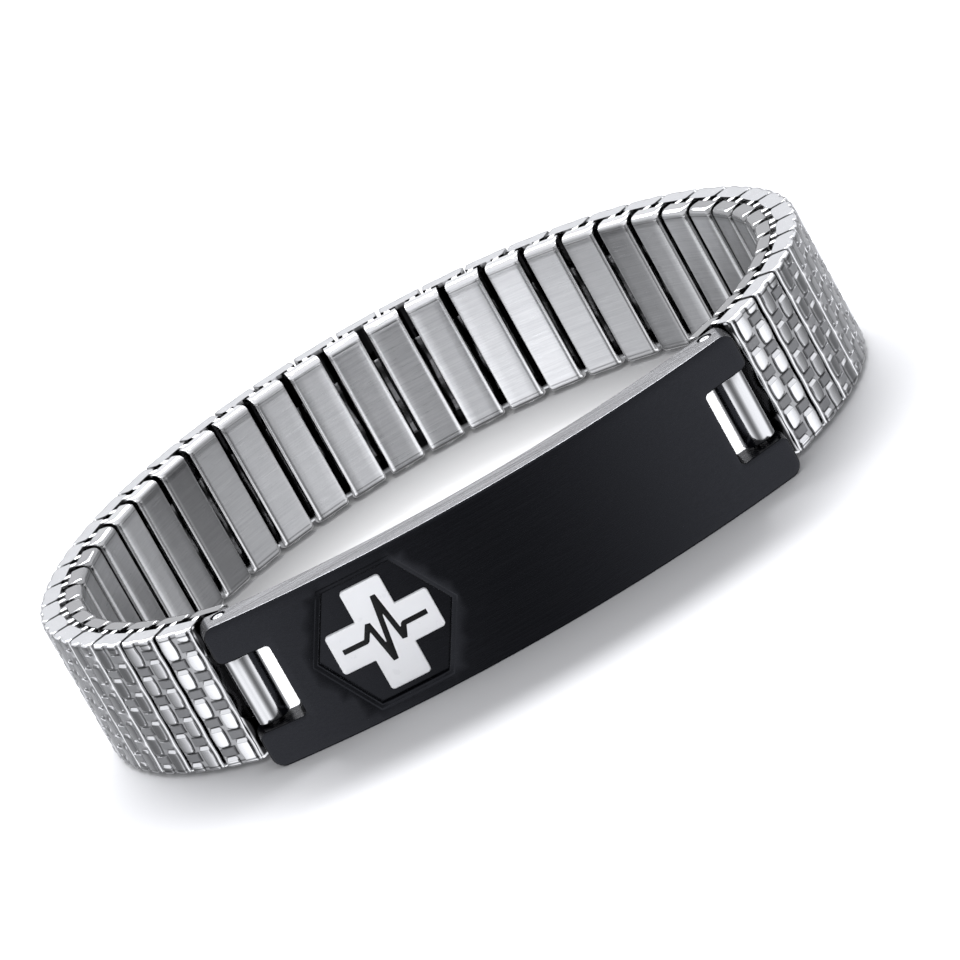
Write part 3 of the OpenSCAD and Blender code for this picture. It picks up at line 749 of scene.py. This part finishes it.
def folded_sheet(
    face_x, face_z, fold_x, fold_z, wall, flap, half, height, draft, relief_of=None, flap_corner=0
):
    """A pressed link as one grid: face columns and rows, quarter-round folds, then walls and flaps.

    Depths of column and row add up, so the folds meet in round corners. Where wall would meet flap
    there are no faces, and the edges of both fall together.
    """
    turns = np.linspace(0, math.pi/2, fold_steps + 1)[1:]
    # How far below the fold the further rows of points on a wall or flap lie
    falls = np.array([0.25, 1.05, 1.3, 1.45])
    falls = falls[falls + fold_x <= wall + fold_z + 0.01]

    def line(face, fold, end, deepest):
        """Places and depths along one direction: down one side, over the face and down the other."""
        past = np.concatenate([end - fold + fold*np.sin(turns), np.full(len(falls), end)])
        sunk = np.concatenate([fold*(1 - np.cos(turns)), fold + falls])
        return past, np.minimum(sunk, deepest)

    past_x, sunk_x = line(face_x, fold_x, half, wall)
    past_z, sunk_z = line(face_z, fold_z, height/2, flap)
    x = np.concatenate([-past_x[::-1], face_x, past_x])
    sx = np.concatenate([sunk_x[::-1], 0*face_x, sunk_x])
    z = np.concatenate([-past_z[::-1], face_z, past_z])
    sz = np.concatenate([sunk_z[::-1], 0*face_z, sunk_z])
    grid_x, grid_z = np.meshgrid(x, z)
    side_fall, end_fall = np.meshgrid(sx, sz)
    depth = side_fall + end_fall
    on_wall, on_flap = side_fall > fold_x + 1e-6, end_fall > fold_z + 1e-6
    depth = np.where(on_flap, np.minimum(depth, flap), np.minimum(depth, wall))
    depth = np.where(on_wall, np.minimum(depth, wall), depth)
    lift = 0
    if relief_of is not None:
        shape = relief_of(grid_x, grid_z + height/2)[0]
        level = np.clip(1 - side_fall/fold_x, 0, 1)*np.clip(1 - end_fall/fold_z, 0, 1)
        lift = shape*level - relief*(1 - level)*0.5
        depth = np.where(on_wall | on_flap, depth, np.maximum(depth, 0))
    narrow = 1 - draft/half*depth/wall
    if flap_corner:
        share = clipped(depth, wall, flap)
        narrow = narrow*np.where(on_flap, 1 - flap_corner/half*(1 - np.sqrt(1 - share**2)), 1)
    points = np.stack([grid_x*narrow, -depth + lift, grid_z + height/2], -1).reshape(-1, 3)
    faces = rows_of_quads(len(z), len(x))
    col = np.arange(len(x) - 1)
    row = np.arange(len(z) - 1)
    wall_col = (col < len(falls)) | (col >= len(x) - 1 - len(falls))
    flap_row = (row < len(falls)) | (row >= len(z) - 1 - len(falls))
    return points, faces[~(flap_row[:, None] & wall_col[None]).ravel()]


def lined(points, faces, half, height, thick, end_thick, ceiling):
    """Closes a folded sheet: its free edge is turned inwards by the sheet's thickness and lined inside."""
    mesh = bpy.data.meshes.new("link_shell")
    mesh.from_pydata(points.tolist(), [], faces.tolist())
    shell = bmesh.new()
    shell.from_mesh(mesh)
    bmesh.ops.delete(shell, geom=[v for v in shell.verts if not v.link_faces], context="VERTS")
    bmesh.ops.remove_doubles(shell, verts=shell.verts, dist=2e-4)
    bmesh.ops.dissolve_degenerate(shell, edges=shell.edges, dist=1e-5)
    outside = set(shell.verts)
    for step in range(2):
        rim = [e for e in shell.edges if e.is_boundary]
        grown = bmesh.ops.extrude_edge_only(shell, edges=rim)
        for v in [g for g in grown["geom"] if isinstance(g, bmesh.types.BMVert)]:
            if step == 0:
                limit = half - thick
                v.co.x = min(max(v.co.x, -limit), limit)
                v.co.z = min(max(v.co.z, end_thick), height - end_thick)
            else:
                v.co.y = ceiling
    rim = [e for e in shell.edges if e.is_boundary]
    bmesh.ops.holes_fill(shell, edges=rim, sides=0)
    bmesh.ops.remove_doubles(shell, verts=[v for v in shell.verts if v not in outside], dist=2e-4)
    bmesh.ops.recalc_face_normals(shell, faces=shell.faces)
    shell.verts.index_update()
    inside = np.array([0.0 if v in outside else 1.0 for v in shell.verts])
    shell.to_mesh(mesh)
    shell.free()
    made = np.array([v.co[:] for v in mesh.vertices])
    made_faces = [list(p.vertices) for p in mesh.polygons]
    bpy.data.meshes.remove(mesh)
    return made, made_faces, inside


half_columns = np.array([0.02, 0.09, 0.26, 0.34, 0.4, 0.47, 0.56, 0.95, 1.28, 1.36, 1.43, 1.5, 1.56, 1.63])
half_columns = np.append(half_columns, outer_half - side_fold)
outer_columns = np.concatenate([-half_columns[::-1], half_columns])
row_steps = np.array([
    -0.58, -0.51, -0.45, -0.38, -0.34, -0.3, -0.2, 0, 0.2, 0.3, 0.34, 0.38, 0.45, 0.51, 0.58, 0.66
])
outer_rows = (np.arange(10)[:, None]*row_pitch + row_steps).ravel() - band_h/2
outer_rows = outer_rows[abs(outer_rows) < band_h/2 - end_fold - 0.03]
outer_rows = np.concatenate([[-band_h/2 + end_fold], outer_rows, [band_h/2 - end_fold]])
points, faces = folded_sheet(
    outer_columns, outer_rows, side_fold, end_fold, outer_wall, outer_flap, outer_half, band_h,
    outer_draft, weave, flap_corner_r
)
link_points, link_faces, link_inside = lined(
    points, faces, outer_half - outer_draft, band_h, sheet, end_sheet, -relief - sheet
)

# Marks from 0 to 1 tell the material which part of the link a point belongs to. The crease, end fold
# shade and inside marks carry painted shade.
link_x, link_z, link_depth = link_points[:, 0].copy(), link_points[:, 2], -link_points[:, 1]
pads, bars, creases = weave(link_x, link_z)[1:]
outside = link_inside < 0.5
wall_x = abs(link_x) + outer_draft*link_depth/outer_wall
from_end = np.minimum(link_z, band_h - link_z)
embossed = (link_depth < relief + 0.12) & outside & (from_end > 0.1)
# The deep parts of the long side walls get the inside mark too, for painted shade.
on_wall = (link_depth > 0.33) & (wall_x > outer_half - 0.03) & outside & (from_end > 0.2)
rubbed = clipped(abs(link_x), outer_half - side_fold - 0.02, outer_half - side_fold + 0.06)
# Painted shade: a dark line just below each end fold, and along the outer corners of the flaps.
end_crease = np.where(embossed, 1 - clipped(abs(from_end - 0.36), 0.03, 0.1), 0)*(1 - rubbed)*0.8
flap_side = clipped(wall_x, 1.76, 1.86)*(from_end < 0.05)*outside
link_marks = {
    "polish": np.where(embossed, pads, 0), "bar": np.where(embossed, bars*(1 - rubbed), 0),
    "crease": np.where(embossed, creases*(1 - rubbed), 0),
    "end_crease": np.maximum(end_crease, 0.85*flap_side),
    "satin": np.where(embossed, 1 - rubbed, 0), "flap": 1 - clipped(from_end, 0.02, 0.06),
    "inside": np.maximum(link_inside, on_wall)
}

# The pressing pushes the sheet sideways in a gentle wave: pads bulge towards the bars of the other column,
# and the long sides draw in at the ends of the bars.
wave = np.cos(math.pi*(band_h - link_z)/row_pitch)*clipped(from_end, 0.3, 0.8)
side_sign = np.sign(link_x)
shift = 0.08*wave*(1 - clipped(abs(link_x), 0.3, 1.35))
shift -= 0.05*side_sign*(1 + side_sign*wave)*clipped(abs(link_x), 1.25, 1.6)
link_points[:, 0] += shift*(1 - clipped(link_depth, 0.3, 0.7))*outside

embossed_steel, tree, shader = new_finish("embossed_steel")
place = add_node(tree, "TexCoord").outputs["Object"]
marks = {
    name: add_node(tree, "Attribute", {"attribute_name": name}).outputs["Fac"] for name in link_marks
}
grain = add_node(tree, "TexNoise", Vector=place, Scale=2500.0, Detail=3.0, Roughness=0.6).outputs[0]
# Painted shade: the links' insides and deep side walls are painted near black.
painted_inside_shade = (0.02, 0.02, 0.021, 1)
tone = (0.84, 0.845, 0.85, 1)
# Bars, creases and end fold lines are painted darker as shade; satin, flap and polish are the steel's own
# tones.
for name, own_tone in (
    ("satin", (0.5, 0.503, 0.51, 1)), ("flap", (0.68, 0.685, 0.695, 1)),
    ("bar", (0.24, 0.242, 0.248, 1)), ("polish", (0.82, 0.825, 0.835, 1)),
    ("crease", (0.04, 0.04, 0.042, 1)), ("end_crease", (0.04, 0.04, 0.042, 1)), ("inside", painted_inside_shade)
):
    tone = add_node(tree, "Mix", {"data_type": "RGBA"}, i0=marks[name], i6=tone, i7=own_tone).outputs[2]
tree.links.new(tone, shader.inputs["Base Color"])
metal = 1.0
for name, share in (("satin", 0.6), ("bar", 0.3), ("polish", 1.0)):
    metal = add_node(tree, "Mix", {"data_type": "FLOAT"}, i0=marks[name], i2=metal, i3=share).outputs[0]
tree.links.new(metal, shader.inputs["Metallic"])
satin = add_node(tree, "Mix", {"data_type": "FLOAT"}, i0=marks["satin"], i2=0.08, i3=0.42)
satin = add_node(tree, "Mix", {"data_type": "FLOAT"}, i0=marks["polish"], i2=satin.outputs[0], i3=0.1)
rough = add_node(
    tree, "Math", {"operation": "ADD"}, i0=satin.outputs[0], i1=spread(tree, grain, 0.0, 0.08)
)
tree.links.new(rough.outputs[0], shader.inputs["Roughness"])
bump = add_node(tree, "Bump", Strength=0.2, Distance=0.00001, Height=grain)
tree.links.new(bump.outputs[0], shader.inputs["Normal"])

outer_places = band_places((np.arange(link_count) - (link_count - 1)/2)*pitch)
# Share of painted shade on bars, creases and end lines: all of it on the links by the plate, less further
# round.
painted_shade_share = 0.3 + 0.7*clipped(abs(np.arange(link_count) - (link_count - 1)/2), 15, 16.8)
for k in range(link_count):
    place = tuple(part[k] for part in outer_places)
    node = "outer_link_%02d" % (k + 1)
    made = make_piece(
        "embossed_" + node[6:], on_band(link_points, place), link_faces, embossed_steel, "embossed_steel",
        [node], 50, False
    )
    for name, values in link_marks.items():
        share = painted_shade_share[k] if name in ("bar", "crease", "end_crease") else 1
        mark = made.data.attributes.new(name, "FLOAT", "POINT")
        mark.data.foreach_set("value", (values*share).astype(np.float32))

# Inner links
# The row on the wrist side is folded the same way from plain sheet, with a fine groove across near each
# end. Its faces are brushed along the band, and its folds worn bright. Painted shade darkens the faces in
# patches and at both bends, the folds at both bends and a line along each groove.
inner_half, inner_draft, inner_deep, inner_sheet = 1.625, 0.18, 1.45, 0.25
band_t = 3.8
inner_fold = 0.5
groove_at, groove_deep = 5.4, 0.03
inner_columns = np.linspace(-inner_half + inner_fold, inner_half - inner_fold, 5)
inner_rows = np.array([0, 3, 4.9, groove_at - 0.08, groove_at, groove_at + 0.08, band_h/2 - inner_fold])
inner_rows = np.concatenate([-inner_rows[:0:-1], inner_rows])
points, faces = folded_sheet(
    inner_columns, inner_rows, inner_fold, inner_fold, inner_deep, inner_deep, inner_half, band_h,
    inner_draft
)
pressed_in = (abs(abs(points[:, 2] - band_h/2) - groove_at) < 0.01) & (points[:, 1] > -0.2)
points[pressed_in, 1] -= groove_deep
inner_points, inner_faces, inner_inside = lined(
    points, faces, inner_half - inner_draft, band_h, inner_sheet, end_sheet, -inner_sheet
)
inner_points = inner_points*(1, -1, 1) - (0, band_t, 0)
inner_faces = [face[::-1] for face in inner_faces]
inner_spots = (np.arange(link_count + 1) - link_count/2)*pitch
inner_places = band_places(inner_spots)
all_points, all_faces = [], []
for k in range(link_count + 1):
    all_points.append(on_band(inner_points, tuple(part[k] for part in inner_places)))
    all_faces += [[v + k*len(inner_points) for v in face] for face in inner_faces]
face_depth = -band_t - inner_points[:, 1]
brushed_part = clipped(-abs(face_depth), -0.12, -0.02)*(1 - inner_inside)

# Painted shade on each link's face. A patch of it is given by its place round the bend in degrees, its
# reach and its loss of brightness, and the links of both bends have one painted shade tone each.
bend = np.degrees(inner_spots/far_r)
shade_patches = [(44, 9, 0.72), (-40.5, 14, 0.85), (-20, 9, 0.33), (31, 4, 0.2), (52, 3, 0.13)]
link_tone = 1 - sum(loss*np.exp(-((bend - at)/reach)**2) for at, reach, loss in shade_patches)
link_tone[bend < -56] = 0.55
link_tone[bend > 56] = 0.75
link_tone[abs(bend) > 70] = 0.48
# The folds' own tone, painted darker round both bends as shade.
fold_tone_and_shade = 0.85 - 0.5*clipped(abs(bend), 48, 66)
# Painted shade along each groove across the face.
groove_shade = clipped(-abs(abs(inner_points[:, 2] - band_h/2) - groove_at), -0.05, 0)*brushed_part

brushed_steel, tree, shader = new_finish("brushed_steel")
lines = brushed_lines(tree, (200, 200, 9000))
fine_lines = brushed_lines(tree, (400, 400, 22000))
marks = {
    name: add_node(tree, "Attribute", {"attribute_name": name}).outputs["Fac"]
    for name in ("brushed", "inside", "link_tone", "fold_tone_and_shade")
}
tone = add_node(
    tree, "Mix", {"data_type": "RGBA"}, i0=spread(tree, lines, 0.0, 1.0), i6=(0.8, 0.805, 0.815, 1),
    i7=(0.94, 0.945, 0.95, 1)
)
tone = add_node(tree, "VectorMath", {"operation": "SCALE"}, i0=tone.outputs[2], Scale=marks["link_tone"])
tone = add_node(
    tree, "Mix", {"data_type": "RGBA"}, i0=marks["brushed"], i6=marks["fold_tone_and_shade"], i7=tone.outputs[0]
)
# Painted shade: the lining inside each inner link is painted near black.
tone = add_node(tree, "Mix", {"data_type": "RGBA"}, i0=marks["inside"], i6=tone.outputs[2], i7=painted_inside_shade)
tree.links.new(tone.outputs[2], shader.inputs["Base Color"])
shader.inputs["Metallic"].default_value = 1.0
satin = spread(tree, fine_lines, 0.26, 0.42)
rough = add_node(tree, "Mix", {"data_type": "FLOAT"}, i0=marks["brushed"], i2=0.1, i3=satin)
tree.links.new(rough.outputs[0], shader.inputs["Roughness"])
bump = add_node(tree, "Bump", Strength=0.35, Distance=0.00002, Height=fine_lines)
tree.links.new(bump.outputs[0], shader.inputs["Normal"])
made = make_piece(
    "brushed_links", np.vstack(all_points), all_faces, brushed_steel, "brushed_steel", ["inner_links"], 50,
    False
)
inner_marks = {
    "brushed": np.tile(brushed_part, link_count + 1), "inside": np.tile(inner_inside, link_count + 1),
    "link_tone": np.outer(link_tone, 1 - 0.75*groove_shade).ravel(),
    "fold_tone_and_shade": np.repeat(fold_tone_and_shade, len(inner_points))
}
for name, values in inner_marks.items():
    mark = made.data.attributes.new(name, "FLOAT", "POINT")
    mark.data.foreach_set("value", values.astype(np.float32))

# Staples
# Bright drawn strip bent to a U joins each outer link to the two inner links beside it, pushed in from
# both side edges of the band. Short crowns fill the slot between the rows at each staple. Strip and
# crowns are painted near black as shade below the top edge of the band, and only stay bright above it.
slot_z, rim_z = 11.3, 11.9
bright_strip, tree, shader = new_finish("bright_strip")
lines = brushed_lines(tree, (3000, 3000, 3000))
level_place = add_node(tree, "SeparateXYZ", i0=add_node(tree, "TexCoord").outputs["Object"]).outputs[2]
# Painted shade: the strip is near black up to the slot and bright at the top of the band.
staple_shade_by_height = add_node(
    tree, "MapRange", i0=level_place, i1=slot_z*mm, i2=rim_z*mm, i3=0.03, i4=0.95
).outputs[0]
tree.links.new(staple_shade_by_height, shader.inputs["Base Color"])
shader.inputs["Metallic"].default_value = 1.0
tree.links.new(spread(tree, lines, 0.14, 0.26), shader.inputs["Roughness"])
staple_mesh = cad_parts["link_staples"].data.copy()
staple_mesh.name = "staples"
staple_mesh.materials.clear()
staple_mesh.materials.append(bright_strip)
sealed(staple_mesh)
staples = bpy.data.objects.new("staples", staple_mesh)
bpy.context.scene.collection.objects.link(staples)
soft_edge = staples.modifiers.new("soft_edge", "BEVEL")
soft_edge.width = 0.06*mm
soft_edge.segments = 1
soft_edge.limit_method = "ANGLE"
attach(staples, "root")
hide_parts("link_staples")

crown_at, crown_half = 1.2, 0.27
crown_back, crown_front = 2.33, 1.72
crown_x, crown_out, crown_z = np.meshgrid(
    [-crown_half, crown_half], [-crown_back, -crown_front], [slot_z, band_h], indexing="ij"
)
crown_points = np.column_stack([crown_x.ravel(), crown_out.ravel(), crown_z.ravel()])
crown_faces = [[0, 1, 3, 2], [4, 6, 7, 5], [0, 4, 5, 1], [2, 3, 7, 6], [0, 2, 6, 4], [1, 5, 7, 3]]
crown_parts = []
for k in range(link_count):
    place = tuple(part[k] for part in outer_places)
    for side in (-1, 1):
        upper = crown_points + (side*crown_at, 0, 0)
        lower = upper*(1, 1, -1) + (0, 0, band_h)
        crown_parts.append((on_band(upper, place), crown_faces))
        crown_parts.append((on_band(lower, place), [face[::-1] for face in crown_faces]))
crowns = make_piece("staple_crowns", *joined(crown_parts), bright_strip, "staple_steel", [], 35)
soft_edge = crowns.modifiers.new("soft_edge", "BEVEL")
soft_edge.width = 0.05*mm
soft_edge.segments = 2
soft_edge.limit_method = "ANGLE"

# Leaf springs
# A thin strip of spring steel, waved along its length, lies in each outer link and pulls the rows
# together. Only a little of it shows, through the gaps between the inner links.
spring_foot, spring_head, spring_half, spring_t = 1.6, 8.8, 0.28, 0.12
wave_middle, wave_rise, wave_length, wave_crest = 1.45, 0.42, 3.9, 4.6
spring_z = np.linspace(spring_foot, spring_head, 34)
spring_x = np.linspace(-spring_half, spring_half, 5)
grid_x, grid_z = np.meshgrid(spring_x, spring_z)
waved = -wave_middle - wave_rise*np.cos((grid_z - wave_crest)*2*math.pi/wave_length)
spring_face = np.stack([grid_x, waved, grid_z], -1).reshape(-1, 3)
spring_parts = []
for k in range(link_count):
    place = tuple(part[k] for part in outer_places)
    spring_parts.append((on_band(spring_face, place), rows_of_quads(len(spring_z), len(spring_x))))
spring_points, spring_faces = joined(spring_parts)
spring_steel, tree, shader = new_finish("spring_steel")
place = add_node(tree, "TexCoord").outputs["Object"]
cloud = add_node(tree, "TexNoise", Vector=place, Scale=2200.0, Detail=3.0, Roughness=0.7).outputs[0]
shader.inputs["Base Color"].default_value = (0.22, 0.22, 0.224, 1)
shader.inputs["Metallic"].default_value = 1.0
tree.links.new(spread(tree, cloud, 0.2, 0.45), shader.inputs["Roughness"])
springs = make_piece(
    "leaf_springs", spring_points, spring_faces, spring_steel, "staple_steel", [], 60, False
)
spring_body = springs.modifiers.new("strip_thickness", "SOLIDIFY")
spring_body.thickness = spring_t*mm
spring_body.offset = 0
